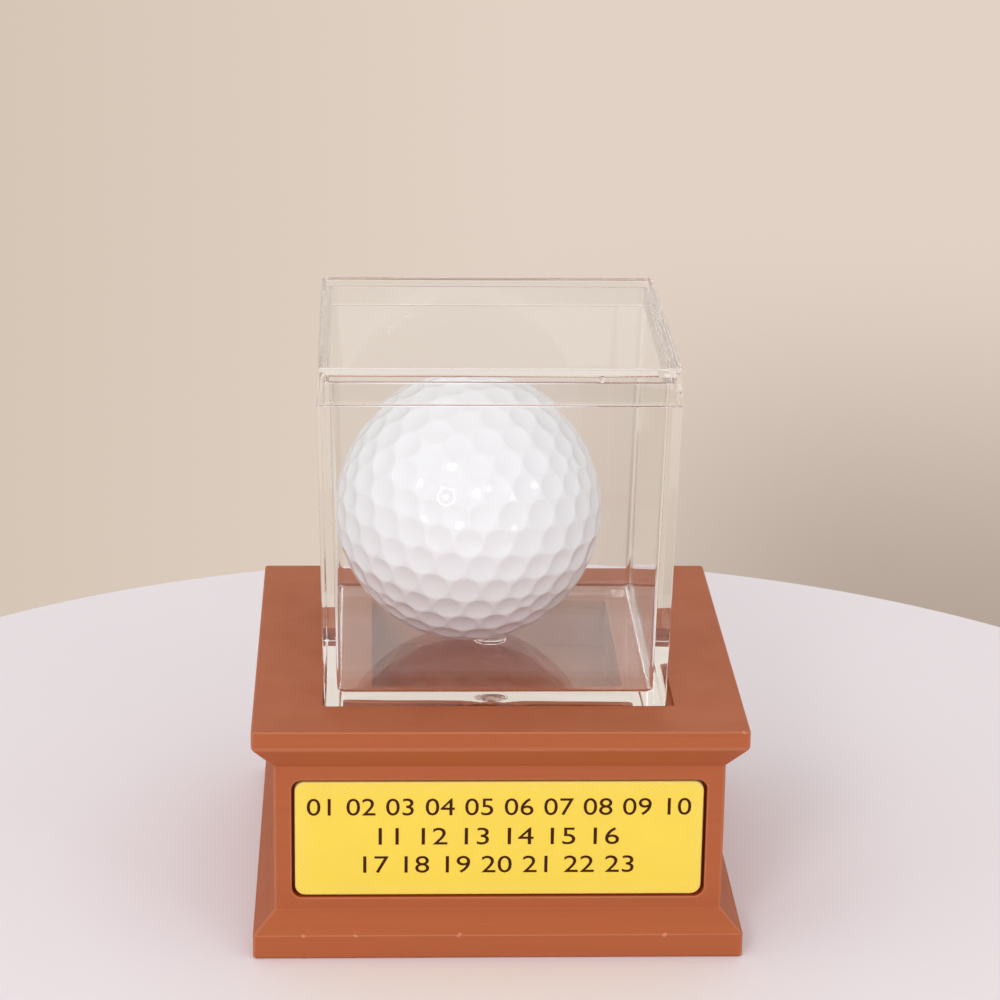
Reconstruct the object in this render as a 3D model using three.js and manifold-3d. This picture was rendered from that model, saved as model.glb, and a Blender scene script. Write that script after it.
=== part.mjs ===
// Golf ball display stand: a printed pedestal with a name plate, and on it a clear two-piece case that holds
// a golf ball. Millimetres, +Z up. The front faces -Y, +X is to the right, and the origin is the middle of the
// underside.
import * as THREE from "three";
import { ConvexHull } from "three/addons/math/ConvexHull.js";
import { mergeVertices } from "three/addons/utils/BufferGeometryUtils.js";
import Module from "manifold-3d";

const wasm = await Module();
wasm.setup();

// Pedestal, from the bottom up
const plinthWidth = 76.2;
const plinthHeight = 3.9;
const flareHeight = 3.05;
const bodyWidth = 69.7;
const bodyHeight = 24;
const underCrownHeight = 4;
const crownWidth = 76.2;
const crownHeight = 2.95;
const crownUnderRadius = 1.5;
const crownBevel = 0.4;
const plinthBevel = 0.3;
const pedestalCornerRadius = 0.5;
const pedestalHeight = plinthHeight + flareHeight + bodyHeight + underCrownHeight + crownHeight;

// Name plate and the recess that it sits in, in the front of the body
const plateWidth = 63.2;
const plateHeight = 19;
const plateThickness = 2.2;
const plateCornerRadius = 1.6;
const plateBevel = 0.25;
const plateSideClearance = 0.48;
const plateBottomClearance = 0.3;
const plateTopClearance = 0.4;
const plateSetBack = 0.3;
const plateBottomAboveFlare = 2.25;

// Recess in the crown that the case stands in, and the pocket below it
const recessDepth = 1.7;
const recessClearance = 0.8;
const pocketWidth = 39.3;
const pocketDepth = 8;
const pocketCornerRadius = 0.5;

// Case box: widths are outside, and the walls lean outwards from the foot to the shoulder
const caseFootWidth = 53;
const caseShoulderWidth = 55.2;
const caseShoulderHeight = 50.5;
const caseWall = 2;
const caseFloorThickness = 3.4;
const rimHeight = 3.35;
const rimThickness = 0.9;
const caseCornerRadius = 0.6;
const caseInnerCornerRadius = 0.8;
const caseLeftGap = 0.25;
const caseFrontGap = 0.15;

// Gate ring moulded on the floor of the case, a little ahead of its middle
const gateRingDiameter = 5.3;
const gateRingHeight = 0.2;
const gateRingBore = 2.8;
const gateRingBoreDepth = 0.15;
const gateRingAhead = 0.9;

// Case lid
const lidFootWidth = 55;
const lidTopWidth = 54.8;
const lidHeight = 5.8;
const lidTopThickness = 1.5;
const lidClearance = 0.15;
const lidBevel = 0.3;
const gateBeadDiameter = 1.1;
const gateBeadHeight = 0.35;
const gateBeadFromMiddle = 15.3;
const gateBeadBelowTop = 1.65;

// Golf ball, standing on the gate ring beside the left wall of the case, a little behind its middle
const ballDiameter = 42.67;
const coverThickness = 1.6;
const coreGap = 0.3;
const dimpleDepth = 0.35;
const dimpleStepsAlong = 5;
const dimpleStepsAcross = 1;
const dimpleRingShare = 0.58;
const ballWallGap = 0.1;
const ballBehindMiddle = 1.65;
const ballRingGap = 0.02;
const ballTiltDegrees = new THREE.Vector3(85.4, 23.8, 43.3);

// How far a cutting tool runs past the surface that it opens
const cutOverrun = 1;

// Steps in each rounded corner, in the round under the crown, round a small boss, and in the ball's hidden
// inner faces
const cornerSteps = 4;
const crownUnderSteps = 5;
const bossSides = 24;
const innerBallDetail = 6;

const printedBrown = new THREE.MeshStandardMaterial({ color: 0xb4633f, roughness: 0.55, metalness: 0 });
const printedYellow = new THREE.MeshStandardMaterial({ color: 0xfed654, roughness: 0.5, metalness: 0 });
const clearAcrylic = new THREE.MeshStandardMaterial({
  color: 0xeef0ef,
  roughness: 0.05,
  metalness: 0,
  transparent: true,
  opacity: 0.3,
});
const ballCoverWhite = new THREE.MeshStandardMaterial({ color: 0xf1f0ee, roughness: 0.25, metalness: 0 });
const ballCoreGrey = new THREE.MeshStandardMaterial({ color: 0x6f8f9a, roughness: 0.8, metalness: 0 });

// A closed geometry as a solid that can be joined and cut.
function solidFrom(geometry) {
  const bare = geometry.clone();
  bare.deleteAttribute("normal");
  bare.deleteAttribute("uv");
  const merged = mergeVertices(bare);
  return new wasm.Manifold(
    new wasm.Mesh({
      numProp: 3,
      vertProperties: new Float32Array(merged.getAttribute("position").array),
      triVerts: new Uint32Array(merged.getIndex().array),
    }),
  );
}

// The solid as a geometry with flat faces.
function geometryFrom(solid) {
  const mesh = solid.getMesh();
  const indexed = new THREE.BufferGeometry();
  indexed.setAttribute("position", new THREE.BufferAttribute(mesh.vertProperties, mesh.numProp));
  indexed.setIndex(new THREE.BufferAttribute(mesh.triVerts, 1));
  const faceted = indexed.toNonIndexed();
  faceted.computeVertexNormals();
  return faceted;
}

function namedMesh(name, solid, material) {
  const mesh = new THREE.Mesh(geometryFrom(solid), material);
  mesh.name = name;
  return mesh;
}

// The corner points of a rounded rectangle about the origin, anticlockwise.
function roundedRectangle(width, depth, radius) {
  const points = [];
  for (let corner = 0; corner < 4; corner += 1) {
    const right = corner === 0 || corner === 3 ? 1 : -1;
    const back = corner < 2 ? 1 : -1;
    for (let step = 0; step <= cornerSteps; step += 1) {
      const angle = ((corner + step / cornerSteps) * Math.PI) / 2;
      const x = right * (width / 2 - radius) + radius * Math.cos(angle);
      const y = back * (depth / 2 - radius) + radius * Math.sin(angle);
      points.push(new THREE.Vector2(x, y));
    }
  }
  return points;
}

// A closed solid whose level sections are rounded rectangles: each section has z, width and radius, and depth
// where it isn't square.
function loftedSolid(sections) {
  const positions = [];
  const indices = [];
  const outlines = sections.map((s) => roundedRectangle(s.width, s.depth ?? s.width, s.radius));
  const count = outlines[0].length;
  outlines.forEach((outline, level) => {
    outline.forEach((point) => positions.push(point.x, point.y, sections[level].z));
  });
  for (let level = 0; level + 1 < sections.length; level += 1) {
    for (let i = 0; i < count; i += 1) {
      const here = level * count + i;
      const next = level * count + ((i + 1) % count);
      indices.push(here, next, next + count);
      indices.push(here, next + count, here + count);
    }
  }
  const top = (sections.length - 1) * count;
  for (let i = 1; i + 1 < count; i += 1) {
    indices.push(0, i + 1, i);
    indices.push(top, top + i, top + i + 1);
  }
  const geometry = new THREE.BufferGeometry();
  geometry.setAttribute("position", new THREE.Float32BufferAttribute(positions, 3));
  geometry.setIndex(indices);
  return solidFrom(geometry);
}

// An upright round boss or bore that stands on the level z.
function uprightRound(diameter, height, z) {
  const geometry = new THREE.CylinderGeometry(diameter / 2, diameter / 2, height, bossSides);
  geometry.rotateX(Math.PI / 2);
  geometry.translate(0, 0, z + height / 2);
  return solidFrom(geometry);
}

// Levels of the pedestal
const flareTop = plinthHeight + flareHeight;
const bodyTop = flareTop + bodyHeight;
const crownBottom = bodyTop + underCrownHeight;
const recessFloor = pedestalHeight - recessDepth;

// Outside width of the case box at a height above its foot.
function caseWidthAt(height) {
  return caseFootWidth + ((caseShoulderWidth - caseFootWidth) * height) / caseShoulderHeight;
}

const recessWidth = caseWidthAt(recessDepth) + 2 * recessClearance;
const gateRingTop = caseFloorThickness + gateRingHeight;

// The place of the case's own origin, the middle of its foot: it stands towards the front left of the recess
const casePlace = new THREE.Vector3(
  caseLeftGap - recessClearance,
  caseFrontGap - recessClearance,
  recessFloor,
);

// Name plate: z of its lower edge, and the recess round it
const plateBottom = flareTop + plateBottomAboveFlare;
const plateRecess = {
  width: plateWidth + 2 * plateSideClearance,
  height: plateHeight + plateBottomClearance + plateTopClearance,
  depth: plateThickness + plateSetBack,
  bottom: plateBottom - plateBottomClearance,
};

// Turns a solid that was lofted along +Z to face the front: its foot is on the plane y, its lower edge at z.
function facingFront(solid, y, height, z) {
  return solid.rotate([90, 0, 0]).translate([0, y, z + height / 2]);
}

// Sections of the round between the slope under the crown and the crown's upright face, from the slope up.
function crownUnderSections() {
  const lean = Math.atan((crownWidth - bodyWidth) / 2 / underCrownHeight);
  const roundTop = crownBottom + crownUnderRadius * Math.tan(lean / 2);
  const sections = [];
  for (let step = 0; step <= crownUnderSteps; step += 1) {
    const turn = lean * (1 - step / crownUnderSteps);
    sections.push({
      z: roundTop - crownUnderRadius * Math.sin(turn),
      width: crownWidth - 2 * crownUnderRadius * (1 - Math.cos(turn)),
      radius: pedestalCornerRadius,
    });
  }
  return sections;
}

function makePedestal() {
  const radius = pedestalCornerRadius;
  const outside = loftedSolid([
    { z: 0, width: plinthWidth - 2 * plinthBevel, radius },
    { z: plinthBevel, width: plinthWidth, radius },
    { z: plinthHeight, width: plinthWidth, radius },
    { z: flareTop, width: bodyWidth, radius },
    { z: bodyTop, width: bodyWidth, radius },
    ...crownUnderSections(),
    { z: pedestalHeight - crownBevel, width: crownWidth, radius },
    { z: pedestalHeight, width: crownWidth - 2 * crownBevel, radius },
  ]);
  const recess = loftedSolid([
    { z: recessFloor, width: recessWidth, radius },
    { z: pedestalHeight + cutOverrun, width: recessWidth, radius },
  ]);
  const pocket = loftedSolid([
    { z: recessFloor - pocketDepth, width: pocketWidth, radius: pocketCornerRadius },
    { z: recessFloor + cutOverrun, width: pocketWidth, radius: pocketCornerRadius },
  ]);
  const outline = { width: plateRecess.width, depth: plateRecess.height, radius: plateCornerRadius };
  const plateCut = facingFront(
    loftedSolid([
      { z: 0, ...outline },
      { z: plateRecess.depth + cutOverrun, ...outline },
    ]),
    plateRecess.depth - bodyWidth / 2,
    plateRecess.height,
    plateRecess.bottom,
  );
  const solid = outside.subtract(recess).subtract(pocket).subtract(plateCut);
  return namedMesh("pedestal", solid, printedBrown);
}

function makeNamePlate() {
  const face = { width: plateWidth, depth: plateHeight, radius: plateCornerRadius };
  const bevelled = {
    width: plateWidth - 2 * plateBevel,
    depth: plateHeight - 2 * plateBevel,
    radius: plateCornerRadius - plateBevel,
  };
  const solid = facingFront(
    loftedSolid([
      { z: 0, ...face },
      { z: plateThickness - plateBevel, ...face },
      { z: plateThickness, ...bevelled },
    ]),
    plateRecess.depth - bodyWidth / 2,
    plateHeight,
    plateBottom,
  );
  return namedMesh("name_plate", solid, printedYellow);
}

function makeCaseBox() {
  const radius = caseCornerRadius;
  const innerRadius = caseInnerCornerRadius;
  const rimTop = caseShoulderHeight + rimHeight;
  const innerWidthAt = (height) => caseWidthAt(height) - 2 * caseWall;
  const rimWidth = innerWidthAt(caseShoulderHeight) + 2 * rimThickness;
  const outside = loftedSolid([
    { z: 0, width: caseFootWidth, radius },
    { z: caseShoulderHeight, width: caseShoulderWidth, radius },
  ]);
  const rim = loftedSolid([
    { z: caseShoulderHeight - rimHeight, width: rimWidth, radius },
    { z: rimTop, width: rimWidth, radius },
  ]);
  const inside = loftedSolid([
    { z: caseFloorThickness, width: innerWidthAt(caseFloorThickness), radius: innerRadius },
    { z: rimTop + cutOverrun, width: innerWidthAt(rimTop + cutOverrun), radius: innerRadius },
  ]);
  const floorMiddle = caseFloorThickness / 2;
  const ring = uprightRound(gateRingDiameter, gateRingTop - floorMiddle, floorMiddle);
  const boreBottom = gateRingTop - gateRingBoreDepth;
  const ringBore = uprightRound(gateRingBore, gateRingBoreDepth + cutOverrun, boreBottom);
  const ringPlace = [0, -gateRingAhead, 0];
  const shell = outside.add(rim).subtract(inside).add(ring.translate(ringPlace));
  return namedMesh("case_box", shell.subtract(ringBore.translate(ringPlace)), clearAcrylic);
}

function makeCaseLid() {
  const radius = caseCornerRadius;
  const skirtHeight = lidHeight - lidTopThickness;
  const rimWidth = caseShoulderWidth - 2 * caseWall + 2 * rimThickness;
  const insideWidth = rimWidth + 2 * lidClearance;
  const outside = loftedSolid([
    { z: 0, width: lidFootWidth, radius },
    { z: lidHeight - lidBevel, width: lidTopWidth, radius },
    { z: lidHeight, width: lidTopWidth - 2 * lidBevel, radius },
  ]);
  const inside = loftedSolid([
    { z: -cutOverrun, width: insideWidth, radius },
    { z: skirtHeight, width: insideWidth, radius },
  ]);
  const beadGeometry = new THREE.CylinderGeometry(
    gateBeadDiameter / 2,
    gateBeadDiameter / 2,
    gateBeadHeight + lidClearance,
    bossSides,
  );
  const bead = solidFrom(beadGeometry).translate([
    gateBeadFromMiddle,
    -(lidTopWidth + gateBeadHeight - lidClearance) / 2,
    lidHeight - gateBeadBelowTop,
  ]);
  const lid = namedMesh("case_lid", outside.subtract(inside).add(bead), clearAcrylic);
  lid.position.z = caseShoulderHeight;
  return lid;
}

// Directions spread evenly over a sphere: each face of an icosahedron carries a triangular grid, turned so
// that a side of the face is so many steps along and so many across.
function gridDirections(along, across) {
  const faces = new THREE.IcosahedronGeometry(1, 0).getAttribute("position");
  const cells = along * along + along * across + across * across;
  const corner = (index) => new THREE.Vector3().fromBufferAttribute(faces, index);
  const side = corner(0).angleTo(corner(1));
  const directions = [];
  for (let face = 0; face < faces.count; face += 3) {
    const [a, b, c] = [corner(face), corner(face + 1), corner(face + 2)];
    for (let i = -across; i <= along; i += 1) {
      for (let j = 0; j <= along + across; j += 1) {
        const toB = (i * (along + across) + j * across) / cells;
        const toC = (j * along - i * across) / cells;
        const toA = 1 - toB - toC;
        if (Math.min(toA, toB, toC) > -Number.EPSILON * cells) {
          const direction = new THREE.Vector3()
            .addScaledVector(a, Math.sin(toA * side))
            .addScaledVector(b, Math.sin(toB * side))
            .addScaledVector(c, Math.sin(toC * side))
            .normalize();
          const nearest = side / (along + across) / 2;
          if (!directions.some((other) => other.distanceTo(direction) < nearest)) directions.push(direction);
        }
      }
    }
  }
  return directions;
}

// The outside of the ball: every dimple is a fan of three rings, and neighbours share the ridge between them.
function dimpledBall(radius) {
  const centres = gridDirections(dimpleStepsAlong, dimpleStepsAcross);
  const ridgeCorners = new Map(centres.map((centre) => [centre, []]));
  for (const face of new ConvexHull().setFromPoints(centres).faces) {
    const around = [face.edge, face.edge.next, face.edge.prev].map((edge) => edge.head().point);
    const corner = new THREE.Vector3();
    around.forEach((centre) => corner.add(centre));
    corner.normalize();
    around.forEach((centre) => ridgeCorners.get(centre).push(corner));
  }
  const ringDepth = dimpleDepth * (1 - dimpleRingShare * dimpleRingShare);
  const positions = [];
  for (const [centre, corners] of ridgeCorners) {
    const across = corners[0].clone().cross(centre).normalize();
    const along = centre.clone().cross(across);
    const bearing = (corner) => Math.atan2(corner.dot(along), corner.dot(across));
    const ordered = [...corners].sort((p, q) => bearing(p) - bearing(q));
    const bottom = centre.clone().multiplyScalar(radius - dimpleDepth);
    const ring = ordered.map((corner) =>
      centre.clone().lerp(corner, dimpleRingShare).normalize().multiplyScalar(radius - ringDepth),
    );
    const ridge = ordered.map((corner) => corner.clone().multiplyScalar(radius));
    ordered.forEach((corner, here) => {
      const next = (here + 1) % ordered.length;
      positions.push(...bottom, ...ring[here], ...ring[next]);
      positions.push(...ring[here], ...ridge[here], ...ridge[next]);
      positions.push(...ring[here], ...ridge[next], ...ring[next]);
    });
  }
  const geometry = new THREE.BufferGeometry();
  geometry.setAttribute("position", new THREE.Float32BufferAttribute(positions, 3));
  return geometry;
}

function plainSphere(radius) {
  return solidFrom(new THREE.IcosahedronGeometry(radius, innerBallDetail));
}

const ballRadius = ballDiameter / 2;
const coverInsideRadius = ballRadius - coverThickness;

function makeBallCore() {
  return namedMesh("ball_core", plainSphere(coverInsideRadius - coreGap), ballCoreGrey);
}

// The two half cups of the cover, which meet face to face at the ball's middle.
function makeBallCover() {
  const outside = solidFrom(dimpledBall(ballRadius)).rotate(ballTiltDegrees.toArray());
  const cover = outside.subtract(plainSphere(coverInsideRadius));
  const cutterWidth = ballDiameter + 2 * cutOverrun;
  return [
    ["ball_cover_upper", 1],
    ["ball_cover_lower", -1],
  ].map(([name, side]) => {
    const half = new THREE.BoxGeometry(cutterWidth, cutterWidth, cutterWidth);
    half.translate(0, 0, (side * cutterWidth) / 2);
    return namedMesh(name, cover.intersect(solidFrom(half)), ballCoverWhite);
  });
}

// The ball in the case: it stands on the gate ring and nearly touches the left wall.
function makeBall() {
  const ball = new THREE.Group();
  const middleHeight = gateRingTop + ballRingGap + ballRadius;
  const freeWidth = caseWidthAt(middleHeight) - 2 * caseWall - ballDiameter;
  ball.position.set(ballWallGap - freeWidth / 2, ballBehindMiddle, middleHeight);
  ball.add(makeBallCore(), ...makeBallCover());
  return ball;
}

const clearCase = new THREE.Group();
clearCase.position.copy(casePlace);
clearCase.add(makeCaseBox(), makeCaseLid(), makeBall());

const displayStand = new THREE.Group();
displayStand.add(makePedestal(), makeNamePlate(), clearCase);

export default displayStand;
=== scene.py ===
from collections import namedtuple
from functools import partial
from itertools import permutations
from math import atan2, cos, exp, hypot, pi, radians, sin, sqrt, tan

import bmesh
import bpy
import numpy as np
from bpy.props import FloatProperty, FloatVectorProperty, PointerProperty
from mathutils import Matrix, Vector


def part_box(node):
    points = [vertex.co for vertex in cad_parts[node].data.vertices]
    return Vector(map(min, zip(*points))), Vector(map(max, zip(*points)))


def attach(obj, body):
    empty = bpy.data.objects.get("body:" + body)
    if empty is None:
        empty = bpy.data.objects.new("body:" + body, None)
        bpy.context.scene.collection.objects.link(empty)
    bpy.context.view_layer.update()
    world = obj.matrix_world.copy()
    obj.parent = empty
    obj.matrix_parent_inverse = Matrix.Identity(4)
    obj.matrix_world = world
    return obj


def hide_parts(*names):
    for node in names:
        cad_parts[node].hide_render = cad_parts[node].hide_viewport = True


bl_info = {
    "name": "Golf Ball Display Stand",
    "version": (1, 0, 0),
    "blender": (4, 5, 0),
    "location": "3D View > Sidebar > Display Stand",
    "description": "Builds a printed pedestal with a name plate, a clear lidded case and a golf ball",
    "category": "Add Mesh",
}

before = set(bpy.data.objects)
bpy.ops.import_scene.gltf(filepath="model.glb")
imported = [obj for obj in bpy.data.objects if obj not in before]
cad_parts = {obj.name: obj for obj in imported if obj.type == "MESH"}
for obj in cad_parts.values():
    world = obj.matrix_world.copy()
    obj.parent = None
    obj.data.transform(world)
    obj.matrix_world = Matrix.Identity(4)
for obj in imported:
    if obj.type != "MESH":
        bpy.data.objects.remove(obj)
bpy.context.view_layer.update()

MM = 0.001

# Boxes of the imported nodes, which the pieces below are built into
PEDESTAL_LOW, PEDESTAL_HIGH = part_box("pedestal")
PLATE_LOW, PLATE_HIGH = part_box("name_plate")
CASE_LOW, CASE_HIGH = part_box("case_box")
LID_LOW, LID_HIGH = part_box("case_lid")
CORE_LOW, CORE_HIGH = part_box("ball_core")
BALL_MIDDLE = (CORE_LOW + CORE_HIGH) / 2
CASE_MIDDLE = (CASE_LOW + CASE_HIGH) / 2

# Where the edges of the print are knocked: along the top of the plinth, and near a corner of the crown
PLINTH_TOP = 3.9 * MM
NICK_FROM_CORNER = 1.1 * MM
PRINT_NICKS = [Vector((x * MM, PEDESTAL_LOW.y, PLINTH_TOP)) for x in (-30.3, -22.3, -6.1, 25.8)]
PRINT_NICKS.append(Vector((PEDESTAL_HIGH.x - NICK_FROM_CORNER, PEDESTAL_LOW.y, PEDESTAL_HIGH.z)))

# A level section of a piece: half its width and depth, its height, its corner radius and the fillet of its edge
Level = namedtuple("Level", "half_width half_depth z radius fillet")


def square(width, z, radius, fillet=0.0):
    """A square level section."""
    return Level(width / 2, width / 2, z, radius, fillet)


def linear(hex_colour):
    """The linear red, green and blue of an sRGB hex colour."""
    values = [int(hex_colour[i : i + 2], 16) / 255 for i in (1, 3, 5)]
    return tuple(v / 12.92 if v <= 0.04045 else ((v + 0.055) / 1.055) ** 2.4 for v in values)


def length(description, millimetres):
    """A length that a user can change, given here in millimetres."""
    default = millimetres * MM
    kind = {"precision": 5, "unit": "LENGTH", "subtype": "DISTANCE"}
    return FloatProperty(description=description, default=default, min=0, **kind)


def colour(description, hex_colour):
    """A colour that a user can change, given here as sRGB hex."""
    kind = {"min": 0, "max": 1, "size": 3, "subtype": "COLOR"}
    return FloatVectorProperty(description=description, default=linear(hex_colour), **kind)


class DisplayStandSizes(bpy.types.PropertyGroup):
    """Sizes of the stand that its packed boxes don't give"""

    plinth_height: length("Height of the upright foot of the pedestal", 3.9)
    flare_height: length("Height of the slope above the plinth", 3.05)
    body_width: length("Width of the pedestal between plinth and crown", 69.7)
    body_height: length("Height of the upright body", 24)
    under_crown_height: length("Height of the slope below the crown", 4)
    recess_depth: length("Depth of the recess that the case stands in", 1.7)
    recess_width: length("Width of the recess that the case stands in", 54.674)
    pocket_width: length("Width of the pocket below the case", 39.3)
    pocket_depth: length("Depth of the pocket below the recess", 8)
    print_corner: length("Radius of the upright corners of the print", 0.5)
    crown_round: length("Rounding where the crown meets the slope", 1.5)
    print_edge: length("Rounding of the print's level edges", 0.3)
    layer_height: length("Height of a printed layer", 0.2)
    nozzle_line: length("Width of a printed line", 0.42)
    plate_corner: length("Radius of the corners of the name plate", 1.6)
    plate_edge: length("Rounding of the face of the name plate", 0.25)
    plate_gap_side: length("Gap beside the name plate", 0.48)
    plate_gap_top: length("Gap above the name plate", 0.4)
    plate_gap_bottom: length("Gap below the name plate", 0.3)
    numeral_height: length("Height of the numerals on the name plate", 2.85)
    numeral_relief: length("How far the numerals stand proud of the plate", 0.03)
    case_foot_width: length("Width of the clear case at its foot", 53)
    case_shoulder_height: length("Height of the shoulder under the lid", 50.5)
    case_wall: length("Thickness of the walls of the clear case", 2)
    case_floor: length("Thickness of the floor of the clear case", 3.3)
    rim_thickness: length("Thickness of the rim inside the lid", 0.9)
    case_corner: length("Radius of the upright outer corners", 0.2)
    case_inner_corner: length("Radius of the upright inner corners", 0.8)
    floor_fillet: length("Fillet between the floor and the walls inside", 0.9)
    moulded_edge: length("Rounding of the outer edges of the case", 0.2)
    seat_gap: length("Air left where a clear piece rests on another", 0.03)
    gate_ring_width: length("Width of the ring on the floor of the case", 5.3)
    gate_ring_height: length("Height of the ring on the floor", 0.3)
    gate_ring_bore: length("Width of the dent in the ring", 2.8)
    gate_ring_bore_depth: length("Depth of the dent in the ring", 0.2)
    gate_ring_ahead: length("Distance of the ring ahead of the middle", 0.9)
    gate_ring_tear: length("How far the front of the ring was torn upwards", 0.25)
    lid_foot_width: length("Width of the lid at its foot", 55)
    lid_top_width: length("Width of the lid at its top", 54.8)
    lid_top_thickness: length("Thickness of the top of the lid", 1.5)
    lid_clearance: length("Gap between the lid's skirt and the rim", 0.15)
    bead_width: length("Width of the bead on the front of the lid", 1.1)
    bead_height: length("How far the bead stands off the lid", 0.35)
    bead_from_middle: length("Distance of the bead from the middle", 15.3)
    bead_below_top: length("Distance of the bead below the top", 1.65)
    ball_diameter: length("Diameter over the lands between the dimples", 42.67)
    cover_thickness: length("Thickness of the cover of the ball", 1.6)
    dimple_depth: length("Depth of a dimple below the ball's round", 0.35)
    dimple_land: length("Width of the land left between two dimples", 0.22)


class DisplayStandColours(bpy.types.PropertyGroup):
    """Colours of the stand"""

    print_brown: colour("Brown plastic of the pedestal", "#AB5931")
    # Paler brown for the real nicks, and for the painted highlight along the outer edges
    print_nick_and_highlight: colour("Worn brown plastic along the edges", "#C3815F")
    # A deeper, redder brown painted in the gap round the plate as its shade
    print_gap_shade: colour("Brown plastic deep in the gap round the plate", "#A83A10")
    plate_yellow: colour("Yellow plastic of the name plate", "#F1D248")
    # Paler yellow for the real crossed print lines near the edge, and for the painted highlight on the rounded edge
    plate_lines_and_highlight: colour("Yellow plastic along the plate's edge", "#EDD989")
    numeral_brown: colour("Dark plastic of the numerals", "#3E1800")
    ball_white: colour("White cover of the ball", "#F1F0F2")
    core_grey: colour("Rubber core inside the ball", "#6F8F9A")
    table_white: colour("Pale table that the stand is shown on", "#EEE6EA")
    backdrop_left: colour("Backdrop at the left", "#D6C6B6")
    backdrop_light: colour("Backdrop where it is lightest", "#E2D2C5")
    backdrop_dark: colour("Backdrop in the low right corner", "#B3A396")
    ceiling_white: colour("What mirrors and clear pieces see above", "#E3D9CE")
    room_dark: colour("Darker room before the stand, mirrored in its clear walls", "#B3A79C")


def socket(sockets, name):
    """A node's socket by its number, its identifier or its name."""
    if isinstance(name, int):
        return sockets[name]
    return next((s for s in sockets if s.identifier == name), None) or sockets[name]


def add_node(tree, kind, inputs=None, **settings):
    """Adds a node with its own settings, and gives each named input a value or a link. A node that is given as a
    value stands for its first output."""
    node = tree.nodes.new(kind)
    for name, value in settings.items():
        setattr(node, name, value)
    for name, value in (inputs or {}).items():
        if isinstance(value, bpy.types.Node):
            value = value.outputs[0]
        if isinstance(value, bpy.types.NodeSocket):
            tree.links.new(value, socket(node.inputs, name))
        else:
            socket(node.inputs, name).default_value = value
    return node


def new_material(name):
    """An empty material, what adds a node to it, and the place on the piece, which its patterns follow."""
    material = bpy.data.materials.new(name)
    material.use_nodes = True
    material.node_tree.nodes.clear()
    add = partial(add_node, material.node_tree)
    return material, add, add("ShaderNodeTexCoord").outputs["Object"]


def rgba(rgb, share=1.0):
    """A share of a colour with full alpha, as colour sockets take it."""
    return (*(min(1.0, value * share) for value in rgb), 1.0)


def lines_across(add, place, direction, spacing):
    """Even lines square to a direction, from 0 to 1, and as far apart as the spacing."""
    turns = Vector(direction).normalized() * (2 * pi / spacing)
    along = add("ShaderNodeVectorMath", {0: place, 1: turns}, operation="DOT_PRODUCT")
    wave = add("ShaderNodeMath", {0: along.outputs["Value"]}, operation="SINE")
    return add("ShaderNodeMath", {0: wave, 1: 0.5, 2: 0.5}, operation="MULTIPLY_ADD")


def blotches(add, place, patch, detail, rgb, low, high):
    """Soft patches of some width, and a colour that drifts with them between two shares of itself."""
    patches = add("ShaderNodeTexNoise", {"Vector": place, "Scale": 1 / patch, "Detail": detail})
    tones = {"Factor_Float": patches, "A_Color": rgba(rgb, low), "B_Color": rgba(rgb, high)}
    return patches, add("ShaderNodeMix", tones, data_type="RGBA").outputs[2]


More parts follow.
